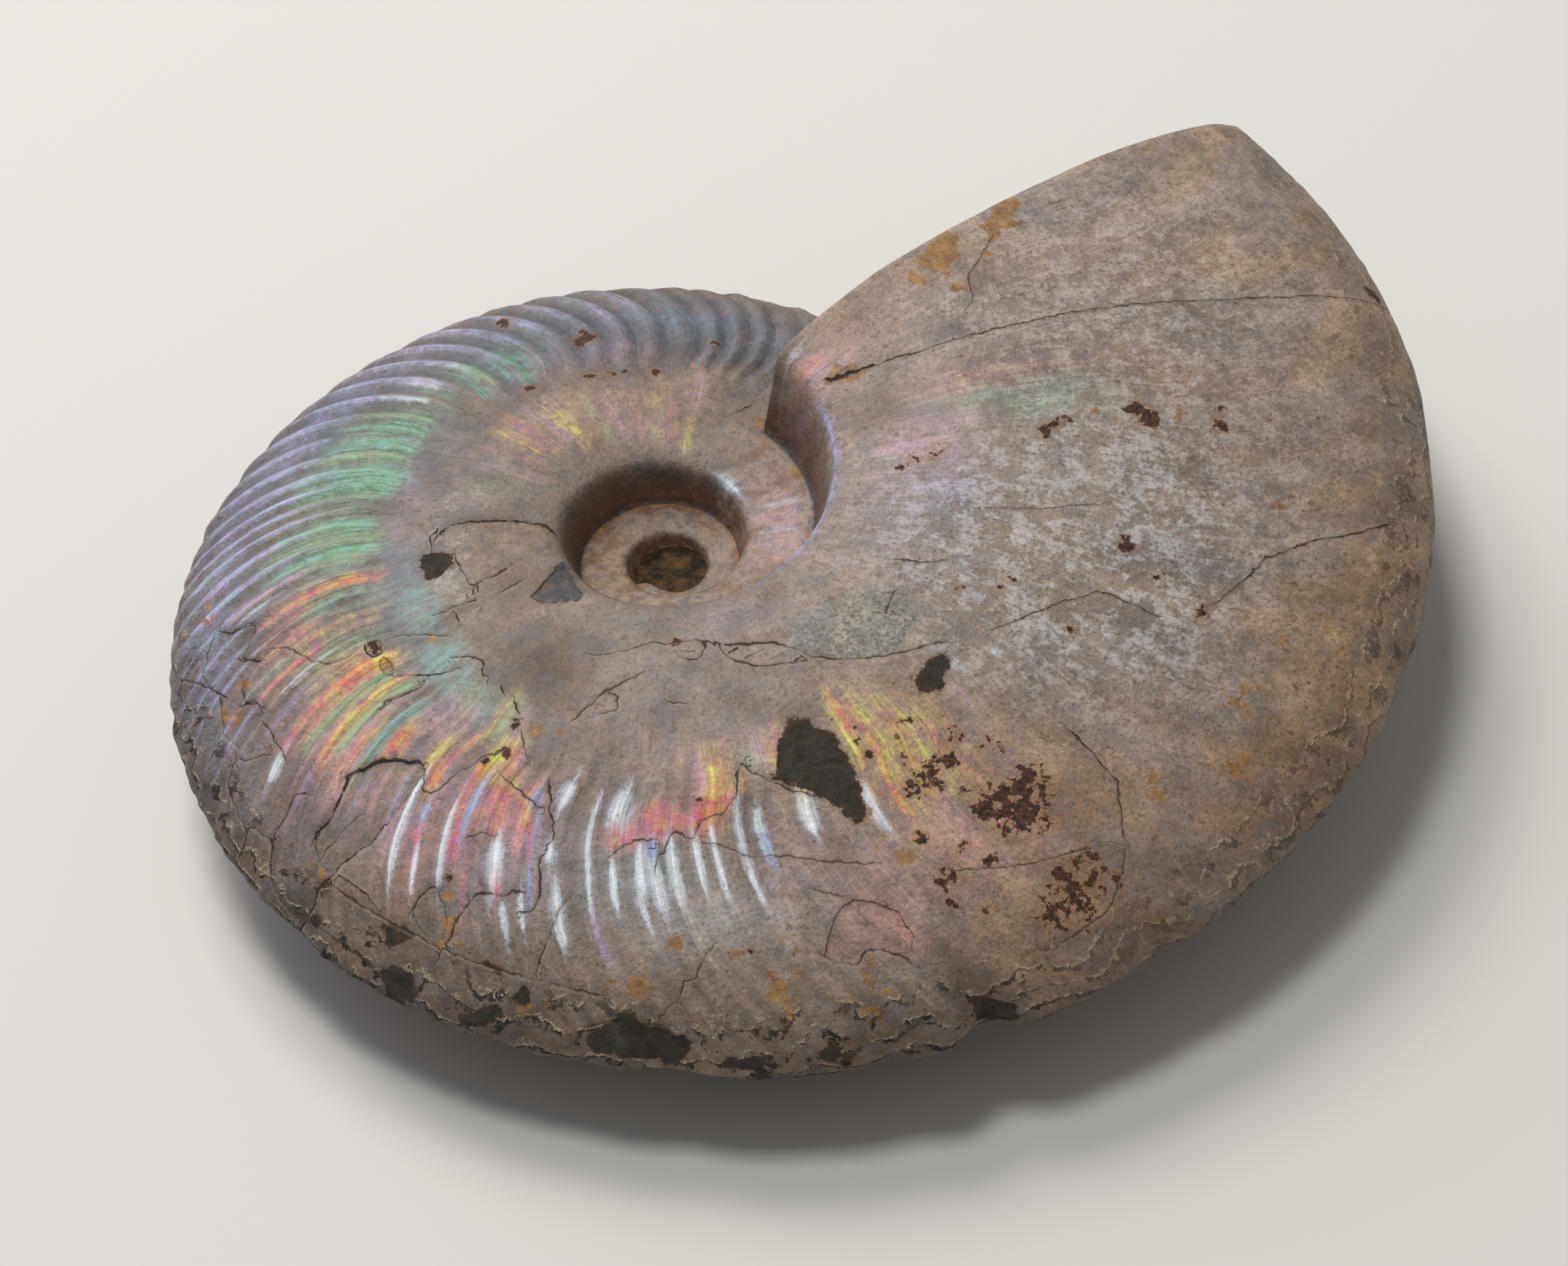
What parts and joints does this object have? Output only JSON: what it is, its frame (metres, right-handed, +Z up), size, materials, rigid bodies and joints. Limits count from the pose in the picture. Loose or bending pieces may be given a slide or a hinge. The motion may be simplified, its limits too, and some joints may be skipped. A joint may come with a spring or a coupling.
{
  "type": "ammonite fossil",
  "caption": "Whole coiled ammonite turned to stone, with fine ribs, a stepped umbilicus and a straight broken mouth, lying on one flank.",
  "frame": {"origin": "middle of the footprint box, on the surface that the fossil lies on", "axes": "+Z up, about 5 degrees off the coil's own axis, because the fossil lies on its thicker last whorl; the mouth opens towards +X +Y"},
  "size_m": [0.0958, 0.0912, 0.0288],
  "materials": {
    "fossil_shell": "worn mother-of-pearl over stone, satin with glossy iridescent patches"
  },
  "bodies": {
    "root": {"ammonite": "fossil_shell"}
  },
  "joints": []
}
